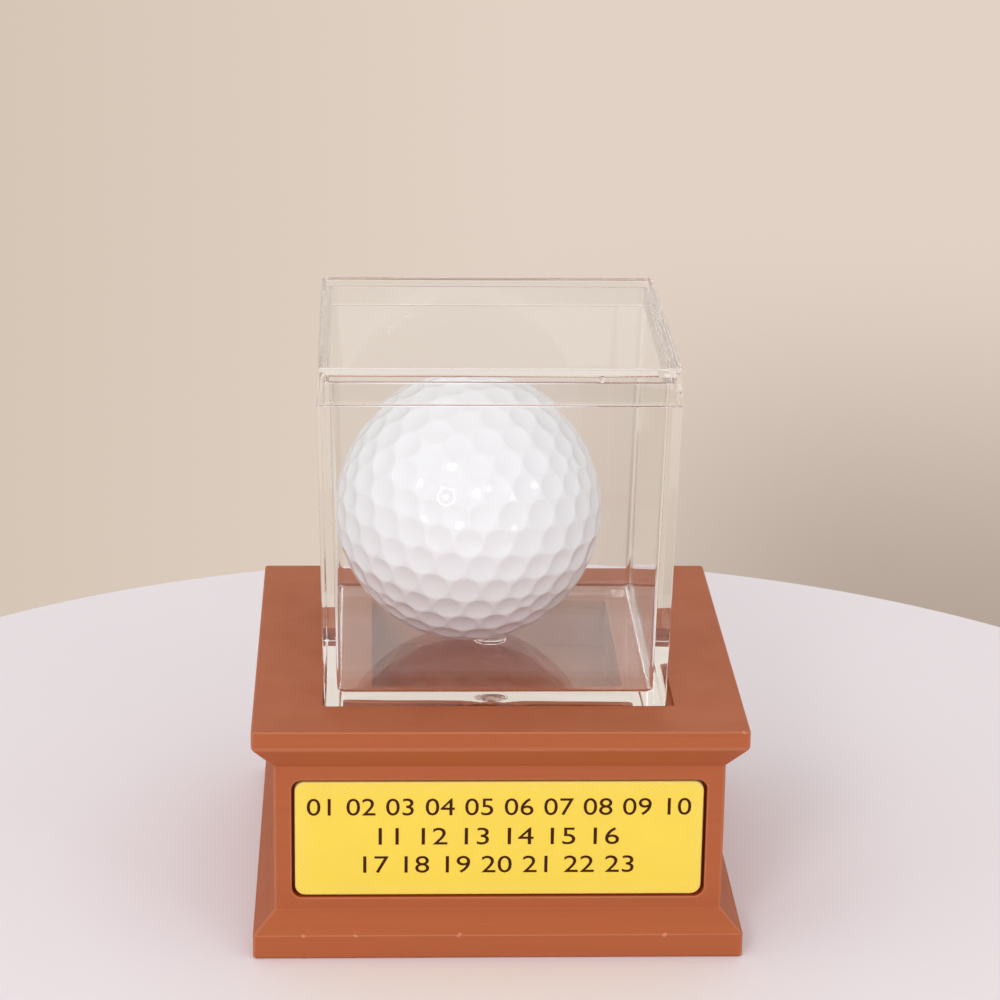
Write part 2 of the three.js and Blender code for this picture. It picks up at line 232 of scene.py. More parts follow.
def printed_brown_pla(name, sizes, brown, light_and_nick_tone):
    """Brown PLA laid down in level layers by a hot nozzle and left as printed: a satin skin with faint level
    streaks on its sides, slanted lines on its level faces, a painted highlight along its outer edges, and a few
    nicks."""
    material, add, place = new_material(name)
    facing = add("ShaderNodeNewGeometry").outputs["True Normal"]
    upright = add("ShaderNodeSeparateXYZ", {0: facing}).outputs["Z"]
    steepness = add("ShaderNodeMath", {0: upright}, operation="ABSOLUTE")
    level_from = 0.9
    level = add("ShaderNodeMath", {0: steepness, 1: level_from}, operation="GREATER_THAN")
    # Layers cool unevenly, so the tone drifts from one bunch of layers to the next and hardly along them
    bunch = 4 * sizes.layer_height
    along = 45 * MM
    stretch = {0: place, 1: (1 / along, 1 / along, 1 / bunch)}
    stretched = add("ShaderNodeVectorMath", stretch, operation="MULTIPLY")
    streaks = add("ShaderNodeTexNoise", {"Vector": stretched, "Scale": 1, "Detail": 3, "Roughness": 0.65})
    patch = 9 * MM
    mottle = add("ShaderNodeTexNoise", {"Vector": place, "Scale": 1 / patch, "Detail": 4, "Roughness": 0.6})
    pattern = add("ShaderNodeMix", {"Factor_Float": level, "A_Float": streaks, "B_Float": mottle})
    drift = add("ShaderNodeMapRange", {"Value": pattern, "From Min": 0.3, "From Max": 0.7})
    tones = {"Factor_Float": drift, "A_Color": rgba(brown, 0.96), "B_Color": rgba(brown, 1.04)}
    tone = add("ShaderNodeMix", tones, data_type="RGBA").outputs[2]
    # Painted highlight: the outer edges are painted in the paler tone
    highlight_paint = add("ShaderNodeAttribute", attribute_name="painted_highlight").outputs["Fac"]
    edge = add("ShaderNodeMath", {0: highlight_paint, 1: 0.4}, operation="MULTIPLY")
    # Here and there they are knocked down to a pale nick, and grains of noise make its outline ragged
    grain = 0.5 * MM
    brought_nearer = 1.2 * MM
    nick_from_middle = -0.3 * MM
    grains = add("ShaderNodeTexNoise", {"Vector": place, "Scale": 1 / grain, "Detail": 2})
    for nick in PRINT_NICKS:
        away = add("ShaderNodeVectorMath", {0: place, 1: nick}, operation="DISTANCE").outputs["Value"]
        ragged = add("ShaderNodeMath", {0: grains, 1: -brought_nearer, 2: away}, operation="MULTIPLY_ADD")
        knocked = add("ShaderNodeMath", {0: ragged, 1: nick_from_middle}, operation="LESS_THAN")
        edge = add("ShaderNodeMath", {0: edge, 1: knocked}, operation="MAXIMUM")
    # The pale tone gives the painted edge highlight and the real nicks
    edged = {"Factor_Float": edge, "A_Color": tone, "B_Color": rgba(light_and_nick_tone)}
    skin = add("ShaderNodeMix", edged, data_type="RGBA").outputs[2]
    # A layer is finer than a pixel of the render, so the lines are drawn two layers and two nozzle widths apart
    layers = lines_across(add, place, (0, 0, 1), 2 * sizes.layer_height)
    raster = lines_across(add, place, (1, 1, 0), 2 * sizes.nozzle_line)
    lines = add("ShaderNodeMix", {"Factor_Float": level, "A_Float": layers, "B_Float": raster})
    ridge_height = 0.006 * MM
    lined = add("ShaderNodeBump", {"Height": lines, "Strength": 0.6, "Distance": ridge_height})
    pit_size = 0.35 * MM
    pit_depth = 0.02 * MM
    pits = add("ShaderNodeTexNoise", {"Vector": place, "Scale": 1 / pit_size, "Detail": 3})
    pitted = add("ShaderNodeBump", {"Height": pits, "Strength": 0.5, "Distance": pit_depth, "Normal": lined})
    uneven = {"Value": mottle, "From Min": 0.3, "From Max": 0.7, "To Min": 0.55, "To Max": 0.48}
    satin = add("ShaderNodeMapRange", uneven)
    shader = add(
        "ShaderNodeBsdfPrincipled",
        {"Base Color": skin, "Roughness": satin, "IOR": 1.46, "Specular IOR Level": 0.35, "Normal": pitted},
    )
    add("ShaderNodeOutputMaterial", {"Surface": shader})
    return material


def printed_yellow_pla(sizes, colours):
    """Yellow PLA printed flat: a satin face with fine crossed lines where the outer lines of the print turn back,
    and a painted highlight on its rounded edge."""
    material, add, place = new_material("yellow_pla_printed")
    middle = (PLATE_LOW + PLATE_HIGH) / 2
    half = (PLATE_HIGH - PLATE_LOW) / 2
    centred = add("ShaderNodeVectorMath", {0: place, 1: middle}, operation="SUBTRACT")
    mirrored = add("ShaderNodeVectorMath", {0: centred}, operation="ABSOLUTE")
    inward = add("ShaderNodeVectorMath", {0: half, 1: mirrored}, operation="SUBTRACT")
    split = add("ShaderNodeSeparateXYZ", {0: inward}).outputs
    from_edge = add("ShaderNodeMath", {0: split["X"], 1: split["Z"]}, operation="MINIMUM")
    # The crossed lines fade out this far in from the edge
    fade_start = 1.4 * MM
    fade_end = 2.4 * MM
    band = {"Value": from_edge, "From Min": fade_start, "From Max": fade_end, "To Min": 1, "To Max": 0}
    near_edge = add("ShaderNodeMapRange", band)
    crossing = 1.35 * sizes.nozzle_line
    rising = lines_across(add, place, (1, 0, 1), crossing)
    falling = lines_across(add, place, (1, 0, -1), crossing)
    crossed = add("ShaderNodeMath", {0: rising, 1: falling}, operation="MULTIPLY")
    weave = add("ShaderNodeMath", {0: crossed, 1: near_edge}, operation="MULTIPLY")
    mottle, skin = blotches(add, place, 8 * MM, 3, colours.plate_yellow, 0.96, 1.03)
    # Painted highlight on the plate's rounded edge
    highlight_paint = add("ShaderNodeAttribute", attribute_name="painted_highlight").outputs["Fac"]
    for paler, strength in ((weave, 0.35), (highlight_paint, 0.7)):
        share = add("ShaderNodeMath", {0: paler, 1: strength}, operation="MULTIPLY")
        mixed = {"Factor_Float": share, "A_Color": skin, "B_Color": rgba(colours.plate_lines_and_highlight)}
        skin = add("ShaderNodeMix", mixed, data_type="RGBA").outputs[2]
    ridge_height = 0.02 * MM
    lined = add("ShaderNodeBump", {"Height": weave, "Strength": 0.6, "Distance": ridge_height})
    satin = add("ShaderNodeMapRange", {"Value": mottle, "To Min": 0.5, "To Max": 0.4})
    face = {"Base Color": skin, "Roughness": satin, "IOR": 1.46, "Normal": lined}
    add("ShaderNodeOutputMaterial", {"Surface": add("ShaderNodeBsdfPrincipled", face)})
    return material


def printed_dark_pla(sizes, colours):
    """Dark brown PLA printed into the face of the plate: dull, with the yellow below showing a little through its
    thin lines."""
    material, add, place = new_material("dark_pla_inlaid")
    lines = lines_across(add, place, (1, 0, 1), sizes.nozzle_line)
    dark = colours.numeral_brown
    tones = {"Factor_Float": lines, "A_Color": rgba(dark, 0.85), "B_Color": rgba(dark, 1.35)}
    tone = add("ShaderNodeMix", tones, data_type="RGBA").outputs[2]
    ridge_height = 0.01 * MM
    lined = add("ShaderNodeBump", {"Height": lines, "Strength": 0.5, "Distance": ridge_height})
    dull = {"Base Color": tone, "Roughness": 0.65, "IOR": 1.46, "Specular IOR Level": 0.15, "Normal": lined}
    add("ShaderNodeOutputMaterial", {"Surface": add("ShaderNodeBsdfPrincipled", dull)})
    return material


def clear_acrylic():
    """Clear acrylic moulded against polished steel: it has a mirror skin, and the mould's flow leaves a faint
    waviness in it."""
    return see_through("clear_acrylic_moulded", clear=1.0, roughness=0.0, ripple=14 * MM, relief=0.01 * MM)


def torn_acrylic():
    """Clear acrylic where the gate was broken off: a ragged, whitish face that scatters the light."""
    return see_through("clear_acrylic_torn", clear=0.6, roughness=0.2, ripple=0.6 * MM, relief=0.15 * MM)


def see_through(name, clear, roughness, ripple, relief):
    """Acrylic that is clear to some share and white for the rest, with a skin of some roughness, in ripples of some
    width and relief. Light from lamps and from matt things passes it straight."""
    material, add, place = new_material(name)
    waves = add("ShaderNodeTexNoise", {"Vector": place, "Scale": 1 / ripple, "Detail": 1.5, "Roughness": 0.4})
    shader = add(
        "ShaderNodeBsdfPrincipled",
        {
            "Base Color": (0.995, 0.997, 0.995, 1),
            "Roughness": roughness,
            "IOR": 1.49,
            "Transmission Weight": clear,
            "Normal": add("ShaderNodeBump", {"Height": waves, "Strength": 1.0, "Distance": relief}),
        },
    )
    passed_on = 0.975
    straight = add("ShaderNodeBsdfTransparent", {"Color": (passed_on, passed_on, passed_on, 1)})
    ray = add("ShaderNodeLightPath").outputs
    either = {0: ray["Is Shadow Ray"], 1: ray["Is Diffuse Ray"]}
    passes = add("ShaderNodeMath", either, operation="MAXIMUM")
    surface = add("ShaderNodeMixShader", {0: passes, 1: shader, 2: straight})
    add("ShaderNodeOutputMaterial", {"Surface": surface})
    return material


def white_ionomer(colours):
    """White ionomer, moulded and lacquered: its white is hardly uneven, and its clear coat gives small sharp
    highlights in the dimples."""
    material, add, place = new_material("white_ionomer_lacquered")
    _, tone = blotches(add, place, 5 * MM, 2, colours.ball_white, 0.98, 1.01)
    cover = {"Base Color": tone, "Roughness": 0.4, "IOR": 1.5, "Specular IOR Level": 0.1}
    lacquer = {"Coat Weight": 0.8, "Coat Roughness": 0.03, "Coat IOR": 1.5}
    add("ShaderNodeOutputMaterial", {"Surface": add("ShaderNodeBsdfPrincipled", cover | lacquer)})
    return material


def moulded_rubber(colours):
    """Pressed rubber of the ball's core: dull, and speckled by its fillers."""
    material, add, place = new_material("core_rubber_pressed")
    speckle, tone = blotches(add, place, 0.6 * MM, 4, colours.core_grey, 0.75, 1.25)
    grain_height = 0.05 * MM
    grainy = add("ShaderNodeBump", {"Height": speckle, "Strength": 0.4, "Distance": grain_height})
    dull = {"Base Color": tone, "Roughness": 0.8, "IOR": 1.52, "Normal": grainy}
    add("ShaderNodeOutputMaterial", {"Surface": add("ShaderNodeBsdfPrincipled", dull)})
    return material


def painted_table(colours):
    """White lacquered table top: nearly matt, with a very faint cloudiness."""
    material, add, place = new_material("white_lacquer_table")
    _, tone = blotches(add, place, 60 * MM, 2, colours.table_white, 0.985, 1.015)
    nearly_matt = {"Base Color": tone, "Roughness": 0.55, "IOR": 1.45}
    add("ShaderNodeOutputMaterial", {"Surface": add("ShaderNodeBsdfPrincipled", nearly_matt)})
    return material


def soften(levels, steps):
    """The levels with each fillet drawn as an arc, each paired with how much painted highlight it takes on an outer
    edge.
    """
    soft = [(levels[0], 0.0)]
    for before, level, after in zip(levels, levels[1:], levels[2:]):
        if level.fillet == 0:
            soft.append((level, 0.0))
            continue
        here = Vector((level.half_width, level.z))
        to_before = (Vector((before.half_width, before.z)) - here).normalized()
        to_after = (Vector((after.half_width, after.z)) - here).normalized()
        half_angle = to_before.angle(to_after) / 2
        centre = here + (to_before + to_after).normalized() * (level.fillet / sin(half_angle))
        reach = level.fillet / tan(half_angle)
        start = here + to_before * reach - centre
        end = here + to_after * reach - centre
        swing = start.angle(end)
        outer = to_after.cross(to_before) > 0
        for step in range(steps + 1):
            share = step / steps
            spoke = start * sin((1 - share) * swing) + end * sin(share * swing)
            point = centre + spoke / sin(swing)
            deeper = level.half_depth - level.half_width
            # Outer fillets get a painted highlight, strongest at their middle
            highlight_share = sin(share * pi) if outer else 0.0
            soft.append((Level(point.x, point.x + deeper, point.y, level.radius, 0.0), highlight_share))
    return [*soft, (levels[-1], 0.0)]


def rounded_corners(level, steps):
    """The outline of a level section, anticlockwise, as x, y and how near each point is to a corner's middle."""
    outline = []
    for corner in range(4):
        right = 1 if corner in (0, 3) else -1
        back = 1 if corner < 2 else -1
        for step in range(steps + 1):
            angle = (corner + step / steps) * pi / 2
            x = right * (level.half_width - level.radius) + level.radius * cos(angle)
            y = back * (level.half_depth - level.radius) + level.radius * sin(angle)
            outline.append((x, y, sin(step / steps * pi)))
    return outline


def lofted(levels, corner_steps=6, fillet_steps=4):
    """A closed skin through level sections. They start under the piece, go up its outside, and end in its hollow
    or on its top. Each point keeps how much painted highlight it takes on an outer edge or corner."""
    bm = bmesh.new()
    highlight_paint = bm.verts.layers.float.new("painted_highlight")
    soft = soften(levels, fillet_steps)
    rings = []
    for number, (level, highlight_share) in enumerate(soft):
        after = soft[min(number + 1, len(soft) - 1)][0]
        before = soft[max(number - 1, 0)][0]
        climbs = before.z < level.z < after.z or (number == 0 and after.z > level.z)
        ring = []
        for x, y, nearness in rounded_corners(level, corner_steps):
            point = bm.verts.new((x, y, level.z))
            # Painted highlight on the outer fillets, and on the upright corners where the skin climbs
            point[highlight_paint] = max(highlight_share, nearness if climbs else 0.0)
            ring.append(point)
        rings.append(ring)
    close_skin(bm, rings)
    return bm


def close_skin(bm, rings):
    """Faces between each ring and the next, and over the two ends."""
    for low, high in zip(rings, rings[1:]):
        join_rings(bm, low, high)
    bm.faces.new(reversed(rings[0]))
    bm.faces.new(rings[-1])


def join_rings(bm, first, second):
    """Faces between two rings that have as many points."""
    for here in range(len(first)):
        after = (here + 1) % len(first)
        bm.faces.new((first[here], first[after], second[after], second[here]))


def round_ring(radius, height, sides=48):
    """Points of a level circle."""
    turns = [2 * pi * side / sides for side in range(sides)]
    return [Vector((radius * cos(turn), radius * sin(turn), height)) for turn in turns]


def set_into_face(bm, face, rings, highlight_share=None):
    """Opens a flat face and grows a boss or a recess from it: rings of points go from the face to its far end, and
    may say how much painted edge highlight they take."""
    border = list(face.edges)
    bmesh.ops.delete(bm, geom=[face], context="FACES_ONLY")
    loops = [[bm.verts.new(point) for point in ring] for ring in rings]
    highlight_paint = bm.verts.layers.float["painted_highlight"]
    for loop, highlight_by in zip(loops, highlight_share or []):
        for vert in loop:
            vert[highlight_paint] = highlight_by
    mouth = [bm.edges.new((a, b)) for a, b in zip(loops[0], loops[0][1:] + loops[0][:1])]
    bmesh.ops.triangle_fill(bm, edges=border + mouth, use_beauty=True)
    before = len(bm.faces)
    for near, far in zip(loops, loops[1:]):
        join_rings(bm, near, far)
    bm.faces.new(loops[-1])
    bm.faces.ensure_lookup_table()
    grown = bm.faces[before:]
    bmesh.ops.recalc_face_normals(bm, faces=bm.faces)
    return grown


def face_that_faces(bm, direction):
    """The largest face whose normal lies nearly along a direction."""
    bm.normal_update()
    way = Vector(direction)
    nearly = 0.98
    return max((f for f in bm.faces if f.normal.dot(way) > nearly), key=lambda f: f.calc_area())


def finish_piece(bm, name, materials, body, replaces=(), at=(0, 0, 0)):
    """Makes a mesh piece that rides on a body. Its flat faces stay flat to the light and its fillets are smooth."""
    bmesh.ops.translate(bm, vec=at, verts=bm.verts)
    bm.normal_update()
    sharp = radians(40)
    for edge in bm.edges:
        edge.smooth = edge.calc_face_angle(pi) < sharp
    for face in bm.faces:
        face.smooth = True
    mesh = bpy.data.meshes.new(name)
    bm.to_mesh(mesh)
    bm.free()
    for material in materials:
        mesh.materials.append(material)
    piece = bpy.data.objects.new(name, mesh)
    bpy.context.scene.collection.objects.link(piece)
    weighted = piece.modifiers.new("flat_faces", "WEIGHTED_NORMAL")
    weighted.keep_sharp = True
    if body:
        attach(piece, body)
    if replaces:
        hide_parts(*replaces)
    return piece


class Builder:
    """What all the operators below share: each builds from the sizes and colours of the scene."""

    def execute(self, context):
        self.build(context.scene.display_stand_sizes, context.scene.display_stand_colours)
        return {"FINISHED"}


class DISPLAY_STAND_OT_pedestal(Builder, bpy.types.Operator):
    """Build the printed pedestal with its recesses"""

    bl_idname = "display_stand.pedestal"
    bl_label = "Pedestal"

    def build(self, sizes, colours):
        corner = sizes.print_corner
        edge = sizes.print_edge
        width = PEDESTAL_HIGH.x - PEDESTAL_LOW.x
        top = PEDESTAL_HIGH.z
        flare_top = sizes.plinth_height + sizes.flare_height
        body_top = flare_top + sizes.body_height
        crown_bottom = body_top + sizes.under_crown_height
        recess_floor = top - sizes.recess_depth
        levels = [
            square(width - 2 * edge, PEDESTAL_LOW.z, corner),
            square(width, PEDESTAL_LOW.z + edge, corner),
            square(width, sizes.plinth_height, corner, edge),
            square(sizes.body_width, flare_top, corner, edge),
            square(sizes.body_width, body_top, corner, edge),
            square(width, crown_bottom, corner, sizes.crown_round),
            square(width, top, corner, edge),
            square(sizes.recess_width, top, corner, edge / 2),
            square(sizes.recess_width, recess_floor, corner, edge / 2),
            square(sizes.pocket_width, recess_floor, corner, edge / 2),
            square(sizes.pocket_width, recess_floor - sizes.pocket_depth, corner),
        ]
        bm = lofted(levels)
        # The recess for the name plate, whose mouth is rounded
        front = -sizes.body_width / 2
        low = PLATE_LOW.z - sizes.plate_gap_bottom
        high = PLATE_HIGH.z + sizes.plate_gap_top
        middle = (low + high) / 2
        half_width = (PLATE_HIGH.x - PLATE_LOW.x) / 2 + sizes.plate_gap_side
        mouth_round = edge / 2
        steps = 3
        shape = [(2 * mouth_round, 0.0), (mouth_round, 0.0)]
        for step in range(1, steps + 1):
            turn = step / steps * pi / 2
            shape.append((mouth_round * (1 - sin(turn)), mouth_round * (1 - cos(turn))))
        shape.append((0.0, PLATE_HIGH.y - front))
        rings = []
        for wider, deeper in shape:
            outline = Level(half_width + wider, (high - low) / 2 + wider, 0, sizes.plate_corner + wider, 0)
            corners = rounded_corners(outline, steps=8)
            rings.append([Vector((x, front + deeper, middle + y)) for x, y, _ in corners])
        # The rounded mouth of the plate's recess gets a painted highlight
        mouth_highlight = 0.8
        highlight_share = [0.0, *(mouth_highlight for _ in rings[1:-1]), 0.0]
        # Faces deep in the recess take the second material: painted shade in the gap round the plate
        for face in set_into_face(bm, face_that_faces(bm, (0, -1, 0)), rings, highlight_share):
            if face.calc_center_median().y > front + mouth_round:
                face.material_index = 1
        open_print = printed_brown_pla("brown_pla_printed", sizes, colours.print_brown, colours.print_nick_and_highlight)
        # In the gap the brown is darkened and reddened as painted shade, and the painted edge highlight fades to
        # plain brown
        gap_shade_print = printed_brown_pla("brown_pla_painted_gap_shade", sizes, colours.print_gap_shade, colours.print_brown)
        finish_piece(bm, "pedestal_print", [open_print, gap_shade_print], "stand", ["pedestal"])


class DISPLAY_STAND_OT_name_plate(Builder, bpy.types.Operator):
    """Build the yellow name plate that sits in the front of the pedestal"""

    bl_idname = "display_stand.name_plate"
    bl_label = "Name Plate"

    def build(self, sizes, colours):
        size = PLATE_HIGH - PLATE_LOW
        radius = sizes.plate_corner
        back_edge = 0.1 * MM
        face_inset = 3 * sizes.plate_edge
        shape = [(back_edge, 0, 0), (0, back_edge, 0), (0, size.y, sizes.plate_edge), (face_inset, size.y, 0)]
        levels = [
            Level(size.x / 2 - inset, size.z / 2 - inset, height, radius - inset, fillet)
            for inset, height, fillet in shape
        ]
        bm = lofted(levels, corner_steps=10)
        bmesh.ops.transform(bm, matrix=Matrix.Rotation(pi / 2, 4, "X"), verts=bm.verts)
        middle = (PLATE_LOW + PLATE_HIGH) / 2
        at = (middle.x, PLATE_HIGH.y, middle.z)
        material = printed_yellow_pla(sizes, colours)
        finish_piece(bm, "name_plate_print", [material], "stand", ["name_plate"], at)


class DISPLAY_STAND_OT_numerals(Builder, bpy.types.Operator):
    """Set three lines of plain numbers into the face of the name plate"""

    bl_idname = "display_stand.numerals"
    bl_label = "Numerals"

    # Each line's numbers, the share of the plate's width that it fills, and its share of the way up the plate
    lines = (
        ("01 02 03 04 05 06 07 08 09 10", 0.94, 0.781),
        ("11 12 13 14 15 16", 0.59, 0.522),
        ("17 18 19 20 21 22 23", 0.665, 0.272),
    )

    def build(self, sizes, colours):
        size = PLATE_HIGH - PLATE_LOW
        sunk = 0.3 * MM
        context = bpy.context
        bm = bmesh.new()
        for numbers, width_share, height_share in self.lines:
            text = bpy.data.curves.new("numbers", "FONT")
            text.body = numbers
            text.align_x = "CENTER"
            text.resolution_u = 4
            # Any thickness will do, because the points are scaled to size in all three directions below
            text.extrude = 0.5
            holder = bpy.data.objects.new("numbers", text)
            context.scene.collection.objects.link(holder)
            context.view_layer.update()
            mesh = bpy.data.meshes.new_from_object(holder.evaluated_get(context.evaluated_depsgraph_get()))
            points = np.array([v.co for v in mesh.vertices])
            low, high = points.min(0), points.max(0)
            across = width_share * size.x / (high[0] - low[0])
            up = sizes.numeral_height / (high[1] - low[1])
            out = (sizes.numeral_relief + sunk) / (high[2] - low[2])
            x = (points[:, 0] - (low[0] + high[0]) / 2) * across + (PLATE_LOW.x + PLATE_HIGH.x) / 2
            z = (points[:, 1] - (low[1] + high[1]) / 2) * up + PLATE_LOW.z + height_share * size.z
            y = PLATE_LOW.y + sunk - (points[:, 2] - low[2]) * out
            mesh.vertices.foreach_set("co", np.stack([x, y, z], 1).ravel())
            bm.from_mesh(mesh)
            bpy.data.objects.remove(holder)
            bpy.data.curves.remove(text)
            bpy.data.meshes.remove(mesh)
        same_place = 0.001 * MM
        bmesh.ops.remove_doubles(bm, verts=bm.verts, dist=same_place)
        material = printed_dark_pla(sizes, colours)
        finish_piece(bm, "plate_numerals", [material], "stand")


class DISPLAY_STAND_OT_case(Builder, bpy.types.Operator):
    """Build the clear case with its lid rim and gate ring"""

    bl_idname = "display_stand.case"
    bl_label = "Clear Case"

    def build(self, sizes, colours):
        corner = sizes.case_corner
        inner = sizes.case_inner_corner
        edge = sizes.moulded_edge
        foot = sizes.case_foot_width
        shoulder = CASE_HIGH.x - CASE_LOW.x
        shoulder_z = sizes.case_shoulder_height
        rim_top = CASE_HIGH.z - CASE_LOW.z
        floor = sizes.case_floor
        slope = (shoulder - foot) / shoulder_z
        inside_foot = foot + slope * floor - 2 * sizes.case_wall
        inside_rim = foot + slope * rim_top - 2 * sizes.case_wall
        rim = shoulder - 2 * sizes.case_wall + 2 * sizes.rim_thickness
        levels = [
            square(foot - 2 * edge, sizes.seat_gap, corner),
            square(foot, sizes.seat_gap + edge, corner),
            square(shoulder, shoulder_z, corner, edge),
            square(rim, shoulder_z, corner, edge / 2),
            square(rim, rim_top, corner, edge),
            square(inside_rim, rim_top, inner, edge),
            square(inside_foot, floor, inner, sizes.floor_fillet),
            square(inside_foot / 2, floor, inner / 2),
        ]
        bm = lofted(levels, corner_steps=8, fillet_steps=6)
        ring = sizes.gate_ring_width / 2
        bore = sizes.gate_ring_bore / 2
        ring_top = floor + sizes.gate_ring_height
        bore_floor = ring_top - sizes.gate_ring_bore_depth
        # Each rounding goes by three points: its start, one near its middle, and its end
        full = 0.07 * MM
        part = 0.3 * full
        dent_wall = 0.9
        dent_floor = 0.6
        boss = [
            *((ring + full, floor), (ring + part, floor + part), (ring, floor + full)),
            *((ring, ring_top - full), (ring - part, ring_top - part), (ring - full, ring_top)),
            *((bore + full, ring_top), (bore + part, ring_top - part), (bore, ring_top - full)),
            *((dent_wall * bore, bore_floor + full), (dent_floor * bore, bore_floor)),
        ]
        # The front of the ring was pulled up, unevenly, when the gate tore off
        teeth = 7
        unevenness = 0.3
        rings = []
        for radius, z in boss:
            share = (z - floor) / sizes.gate_ring_height * sizes.gate_ring_tear
            loop = []
            for point in round_ring(radius, z):
                forward = max(0.0, -point.y / radius)
                ragged = 1 + unevenness * sin(teeth * atan2(point.y, point.x))
                place = Vector((point.x, point.y - sizes.gate_ring_ahead, point.z))
                loop.append(place + Vector((0, 0, share * forward * ragged)))
            rings.append(loop)
        bmesh.ops.recalc_face_normals(bm, faces=bm.faces)
        for face in set_into_face(bm, face_that_faces(bm, (0, 0, 1)), rings):
            middle = face.calc_center_median()
            if hypot(middle.x, middle.y + sizes.gate_ring_ahead) < ring - full:
                face.material_index = 1
        at = (CASE_MIDDLE.x, CASE_MIDDLE.y, CASE_LOW.z)
        materials = [clear_acrylic(), torn_acrylic()]
        finish_piece(bm, "clear_case_box", materials, "case", ["case_box"], at)


class DISPLAY_STAND_OT_lid(Builder, bpy.types.Operator):
    """Build the clear lid with the bead that its gate left"""

    bl_idname = "display_stand.lid"
    bl_label = "Clear Lid"

    def build(self, sizes, colours):
        corner = sizes.case_corner
        edge = sizes.moulded_edge
        height = LID_HIGH.z - LID_LOW.z
        shoulder = CASE_HIGH.x - CASE_LOW.x
        inside = shoulder - 2 * sizes.case_wall + 2 * sizes.rim_thickness + 2 * sizes.lid_clearance
        ceiling = height - sizes.lid_top_thickness
        levels = [
            square(inside, ceiling, corner),
            square(inside, sizes.seat_gap, corner, edge / 2),
            square(sizes.lid_foot_width, sizes.seat_gap, corner, edge),
            square(sizes.lid_top_width, height, corner, 1.5 * edge),
            square(sizes.lid_top_width / 2, height, corner / 2),
        ]
        bm = lofted(levels, corner_steps=8, fillet_steps=6)
        bmesh.ops.recalc_face_normals(bm, faces=bm.faces)
        face = face_that_faces(bm, (0, -1, 0))
        bead = sizes.bead_width / 2
        middle = Vector((sizes.bead_from_middle, 0, height - sizes.bead_below_top))
        slope = -face.normal.z / face.normal.y
        base = face.calc_center_median()
        # The bead's shape, as shares of its radius and height
        shape = [(1, 0), (0.95, 0.5), (0.75, 0.85), (0.4, 1)]
        rings = []
        for radius_share, height_share in shape:
            ring = []
            for point in round_ring(bead * radius_share, 0, sides=24):
                z = middle.z + point.y
                y = base.y + (z - base.z) * slope - height_share * sizes.bead_height
                ring.append(Vector((middle.x + point.x, y, z)))
            rings.append(ring)
        set_into_face(bm, face, rings)
        at = (CASE_MIDDLE.x, CASE_MIDDLE.y, LID_LOW.z)
        material = bpy.data.materials["clear_acrylic_moulded"]
        finish_piece(bm, "clear_case_lid", [material], "lid", ["case_lid"], at)


def dimple_grid(radius, along=5, across=1):
    """Middles of the dimples as directions, and how many of them lead the list because five others surround them.
    Each face of an icosahedron carries a triangular grid, turned so that a side of the face is so many steps along
    and so many across."""
    golden = (1 + sqrt(5)) / 2
    a_bit_more = 1.01
    just_outside = -1e-6
    signs = [(a, b) for a in (-1, 1) for b in (-golden, golden)]
    corners = [Vector(p).normalized() for a, b in signs for p in ((0, a, b), (a, b, 0), (b, 0, a))]
    side = min(corners[0].angle(corner) for corner in corners[1:])
    cells = along * along + along * across + across * across
    faces = [
        (a, b, c)
        for a, b, c in permutations(corners, 3)
        if a.dot(b.cross(c)) > 0 and max(a.angle(b), b.angle(c), c.angle(a)) < a_bit_more * side
    ]
    spots = list(corners)
    for a, b, c in faces:
        for p in range(-across, along + 1):
            for q in range(along + across + 1):
                to_b = (p * (along + across) + q * across) / cells
                to_c = (q * along - p * across) / cells
                to_a = 1 - to_b - to_c
                if min(to_a, to_b, to_c) > just_outside:
                    shares = ((a, to_a), (b, to_b), (c, to_c))
                    spot = sum((v * sin(share * side) for v, share in shares), Vector())
                    spot.normalize()
                    if all((spot - other).length > side / (along + across) / 2 for other in spots):
                        spots.append(spot)
    # The small dimples at the corners have drawn those round them in
    pull = 0.28
    pull_range = 5.9 * MM / radius
    drawn = []
    for spot in spots:
        corner = max(corners, key=spot.dot)
        away = spot.angle(corner, 0.0)
        nearer = pull * exp(-((away / pull_range) ** 2))
        drawn.append(spot.slerp(corner, nearer) if away > 0 else spot)
    return drawn, len(corners)


# Where the photograph shows a five-fold dimple of the ball, and the dimple beside it, as directions from its middle
FIVE_FOLD_DIMPLE = Vector((-0.1942, -0.9038, 0.3813))
DIMPLE_BESIDE_IT = Vector((-0.3603, -0.8175, 0.4493))


def turn_between(first, beside_first, second, beside_second):
    """The turn that brings one direction and the side its neighbour lies on to another such pair."""
    bases = []
    for main, beside in ((first, beside_first), (second, beside_second)):
        x = main.normalized()
        z = x.cross(beside).normalized()
        bases.append(Matrix((x, z.cross(x), z)).transposed())
    return bases[1] @ bases[0].transposed()


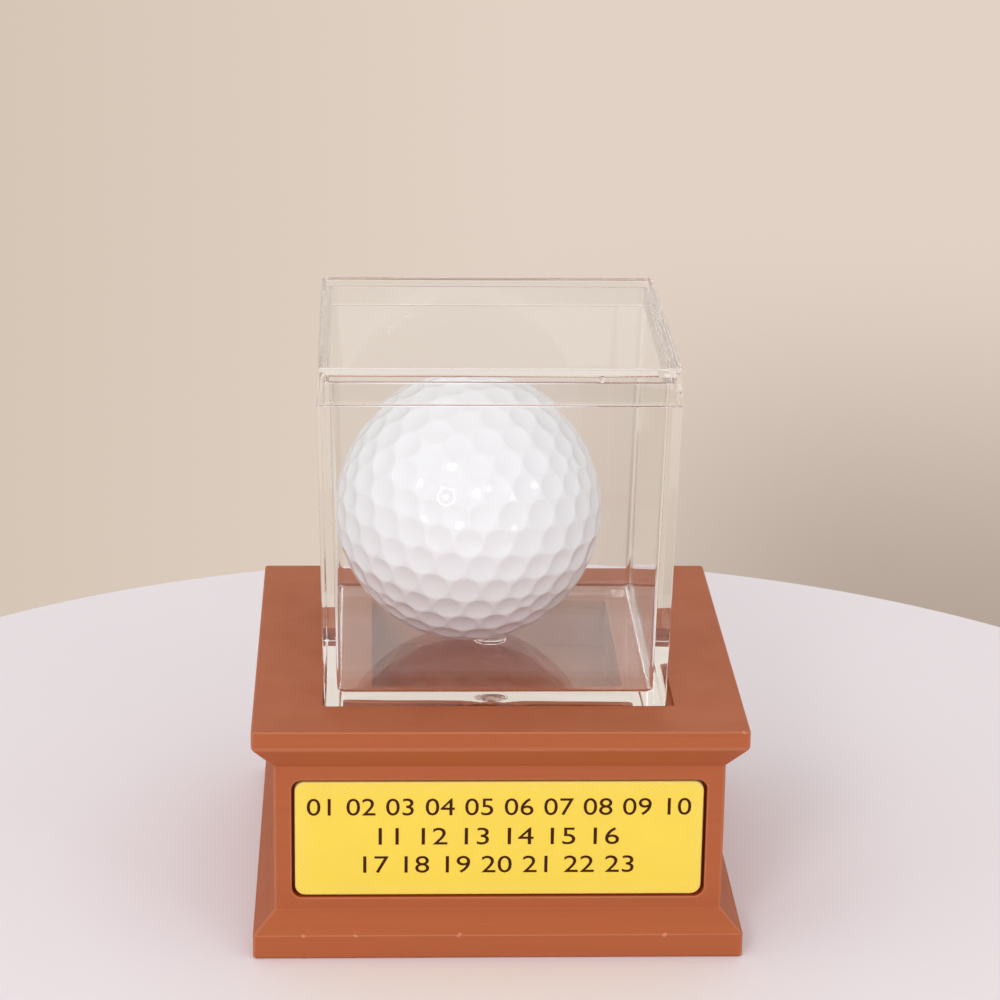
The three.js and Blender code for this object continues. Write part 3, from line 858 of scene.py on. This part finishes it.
class DISPLAY_STAND_OT_ball(Builder, bpy.types.Operator):
    """Build the dimpled ball round its core"""

    bl_idname = "display_stand.ball"
    bl_label = "Golf Ball"

    def build(self, sizes, colours):
        radius = sizes.ball_diameter / 2
        spots, small_count = dimple_grid(radius)
        beside = min(spots[small_count:], key=spots[0].angle)
        turn = turn_between(spots[0], beside, FIVE_FOLD_DIMPLE, DIMPLE_BESIDE_IT)
        middles = np.array([turn @ spot for spot in spots])
        apart = np.arccos(np.clip(middles @ middles.T, -1, 1))
        np.fill_diagonal(apart, pi)
        # A dimple reaches nearly half way to its nearest neighbours, and the small ones take what those leave
        land = sizes.dimple_land / radius
        reach = (np.sort(apart[:, small_count:], 1)[:, :3].mean(1) - land) / 2
        nearest = apart[:small_count].argmin(1)
        reach[:small_count] = apart[:small_count].min(1) - reach[nearest] - land
        bm = bmesh.new()
        bmesh.ops.create_icosphere(bm, subdivisions=8, radius=1)
        ways = np.array([v.co for v in bm.verts])
        ways /= np.linalg.norm(ways, axis=1)[:, None]
        # A cup turns softly into the land at its lip. The points are worked out in blocks, to spare memory
        depth = np.zeros(len(ways))
        lip = 0.07
        blocks = 16
        for part in np.array_split(np.arange(len(ways)), blocks):
            angles = np.arccos(np.clip(ways[part] @ middles.T, -1, 1))
            inside = 1 - (angles / reach) ** 2
            cup = np.where(inside > lip, inside, np.clip(inside + lip, 0, None) ** 2 / (4 * lip))
            depth[part] = (cup * reach / reach.max()).max(1)
        points = ways * (radius - sizes.dimple_depth * depth)[:, None]
        for vert, point in zip(bm.verts, points):
            vert.co = point
        inner = bmesh.ops.create_icosphere(bm, subdivisions=5, radius=radius - sizes.cover_thickness)
        inner_faces = list({face for vert in inner["verts"] for face in vert.link_faces})
        bmesh.ops.reverse_faces(bm, faces=inner_faces)
        cups = ["ball_cover_upper", "ball_cover_lower"]
        materials = [white_ionomer(colours)]
        cover = finish_piece(bm, "ball_cover", materials, "ball", cups, BALL_MIDDLE)
        cover.modifiers.clear()
        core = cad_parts["ball_core"]
        core.data.materials.clear()
        core.data.materials.append(moulded_rubber(colours))


def way_towards(right_degrees, up_degrees):
    """The direction that lies so many degrees to the right of the front, and so many up."""
    right = radians(right_degrees)
    up = radians(up_degrees)
    return Vector((sin(right) * cos(up), -cos(right) * cos(up), sin(up)))


class DISPLAY_STAND_OT_stage(Builder, bpy.types.Operator):
    """Set up the table, the lights, the backdrop and the camera"""

    bl_idname = "display_stand.stage"
    bl_label = "Stage"

    table_radius = 152.4 * MM
    table_middle = Vector((2.8 * MM, -2.9 * MM, 0))
    table_thickness = 18 * MM

    # The camera of the photograph, fitted to the edges of the stand: the picture is square
    camera_place = Vector((-20.72, -496.96, 227.08)) * MM
    camera_lens = 117.36
    camera_sensor = 36
    # Degrees that it looks to the right, down, and is rolled
    camera_degrees = (2.488, 18.309, 0.849)

    def build(self, _, colours):
        scene = bpy.context.scene
        self.add_table(colours)
        self.add_lights(scene)
        self.add_backdrop(scene, colours)
        self.add_camera(scene)
        scene.view_settings.view_transform = "Standard"
        # Light is led far along the clear walls, which turn black where its bounces are cut short
        cycles = scene.cycles
        cycles.max_bounces = 96
        cycles.transmission_bounces = 96
        cycles.glossy_bounces = 96
        cycles.transparent_max_bounces = 24

    def add_table(self, colours):
        """A round table top with a rounded edge, just under the stand."""
        edge = 1 * MM
        drop = 0.01 * MM
        steps = 6
        profile = [(self.table_radius, -self.table_thickness)]
        for step in range(steps + 1):
            turn = step / steps * pi / 2
            inset = edge * (1 - cos(turn))
            profile.append((self.table_radius - inset, -drop - edge * (1 - sin(turn))))
        bm = bmesh.new()
        rings = [[bm.verts.new(point) for point in round_ring(radius, z, sides=192)] for radius, z in profile]
        close_skin(bm, rings)
        table = finish_piece(bm, "table_top", [painted_table(colours)], None, at=self.table_middle)

    def add_lights(self, scene):
        """Soft lamps all round, of which a wide low one in front is the strongest, and two small ones in front that
        give the ball its highlights."""
        # Width and distance in metres, degrees to the right of the front and up, power in watts, and tint
        lamps = {
            "overhead": (2.4, 1.5, -30, 80, 0.45, "#FFFFFF"),
            "side_left": (1.2, 1.5, -70, 45, 2.8, "#FFFFFF"),
            "side_right": (1.2, 1.5, 60, 45, 1.5, "#FFFFFF"),
            "behind": (1.5, 1.5, 180, 50, 2.4, "#FFF4EC"),
            "low_front": (1.4, 1.5, 0, 12, 6.2, "#F8F8FF"),
            "front_left": (0.24, 1.0, -22, 27, 2.0, "#FFFFFF"),
            "front_right": (0.16, 1.0, 39.5, 24, 0.4, "#FFFFFF"),
        }
        for name, (width, distance, right, up, power, tint) in lamps.items():
            lamp = bpy.data.lights.new(name, "AREA")
            lamp.shape = "SQUARE"
            lamp.size = width
            lamp.energy = power
            lamp.color = linear(tint)
            holder = bpy.data.objects.new(name, lamp)
            way = way_towards(right, up)
            holder.location = BALL_MIDDLE + way * distance
            holder.rotation_mode = "QUATERNION"
            holder.rotation_quaternion = (-way).to_track_quat("-Z", "Y")
            scene.collection.objects.link(holder)

    def add_backdrop(self, scene, colours):
        """A soft even light all round, and a beige backdrop that the camera, mirrors and clear pieces see: lighter
        above, and darker in its low right corner and before the stand."""
        world = bpy.data.worlds.new("plain_studio")
        scene.world = world
        world.use_nodes = True
        world.node_tree.nodes.clear()
        add = partial(add_node, world.node_tree)
        way = add("ShaderNodeTexCoord").outputs["Generated"]
        split = add("ShaderNodeSeparateXYZ", {0: way}).outputs
        # Each colour lies over those before it, where the direction is far enough along every axis named with it:
        # not at all at the first value, and fully at the second
        parts = (
            (colours.backdrop_light, [("X", -0.11, 0.05, "LINEAR")]),
            (
                colours.backdrop_dark,
                [("Y", 0.75, 0.88, "LINEAR"), ("X", 0.0, 0.16, "SMOOTHSTEP"), ("Z", -0.225, -0.36, "SMOOTHSTEP")],
            ),
            (colours.ceiling_white, [("Z", -0.1, 0.35, "LINEAR")]),
            (colours.room_dark, [("Y", -0.82, -0.92, "LINEAR")]),
        )
        seen = rgba(colours.backdrop_left)
        for tint, ramps in parts:
            share = 1.0
            for axis, start, end, kind in ramps:
                ramp = {"Value": split[axis], "From Min": start, "From Max": end}
                along = add("ShaderNodeMapRange", ramp, interpolation_type=kind)
                share = add("ShaderNodeMath", {0: share, 1: along}, operation="MULTIPLY")
            mixed = {"Factor_Float": share, "A_Color": seen, "B_Color": rgba(tint)}
            seen = add("ShaderNodeMix", mixed, data_type="RGBA").outputs[2]
        shown = add("ShaderNodeBackground", {"Color": seen, "Strength": 1.0})
        soft = add("ShaderNodeBackground", {"Color": rgba(linear("#FFFFFF")), "Strength": 0.62})
        ray = add("ShaderNodeLightPath").outputs
        looks = ray["Is Camera Ray"]
        for other in (ray["Is Glossy Ray"], ray["Is Transmission Ray"]):
            looks = add("ShaderNodeMath", {0: looks, 1: other}, operation="MAXIMUM")
        sky = add("ShaderNodeMixShader", {0: looks, 1: soft, 2: shown})
        add("ShaderNodeOutputWorld", {"Surface": sky})

    def add_camera(self, scene):
        """The camera of the photograph, which is set as the scene's."""
        camera = bpy.data.cameras.new("photo_camera")
        camera.lens = self.camera_lens
        camera.sensor_width = self.camera_sensor
        camera.sensor_fit = "HORIZONTAL"
        camera.clip_start = 0.01
        holder = bpy.data.objects.new("photo_camera", camera)
        right, down, rolled = self.camera_degrees
        ahead = -way_towards(-right, down)
        side = ahead.cross(Vector((0, 0, 1))).normalized()
        upward = side.cross(ahead)
        turn = Matrix((side, upward, -ahead)).transposed()
        roll = Matrix.Rotation(radians(rolled), 3, "Z")
        holder.matrix_world = Matrix.LocRotScale(self.camera_place, (turn @ roll).to_quaternion(), None)
        scene.collection.objects.link(holder)
        scene.camera = holder


class DISPLAY_STAND_PT_panel(bpy.types.Panel):
    """Sizes, colours and builders of the display stand"""

    bl_label = "Display Stand"
    bl_space_type = "VIEW_3D"
    bl_region_type = "UI"
    bl_category = "Display Stand"

    def draw(self, context):
        for operator in OPERATORS:
            self.layout.operator(operator.bl_idname)
        for group in (context.scene.display_stand_sizes, context.scene.display_stand_colours):
            box = self.layout.box()
            for name in group.__annotations__:
                box.prop(group, name, text=name.replace("_", " ").title())


# In the order in which they are built: the lid takes its material from the case
OPERATORS = (
    DISPLAY_STAND_OT_stage,
    DISPLAY_STAND_OT_pedestal,
    DISPLAY_STAND_OT_name_plate,
    DISPLAY_STAND_OT_numerals,
    DISPLAY_STAND_OT_case,
    DISPLAY_STAND_OT_lid,
    DISPLAY_STAND_OT_ball,
)
CLASSES = (DisplayStandSizes, DisplayStandColours, *OPERATORS, DISPLAY_STAND_PT_panel)


def register():
    """Makes the operators, the panel, and the sizes and colours of the scene known to Blender."""
    for cls in CLASSES:
        bpy.utils.register_class(cls)
    bpy.types.Scene.display_stand_sizes = PointerProperty(type=DisplayStandSizes)
    bpy.types.Scene.display_stand_colours = PointerProperty(type=DisplayStandColours)


def unregister():
    """Takes all of that out again."""
    del bpy.types.Scene.display_stand_colours
    del bpy.types.Scene.display_stand_sizes
    for cls in reversed(CLASSES):
        bpy.utils.unregister_class(cls)


def main():
    """Builds the stand and its stage."""
    register()
    for operator in OPERATORS:
        group, name = operator.bl_idname.split(".")
        getattr(getattr(bpy.ops, group), name)()
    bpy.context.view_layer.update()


if __name__ == "__main__":
    main()
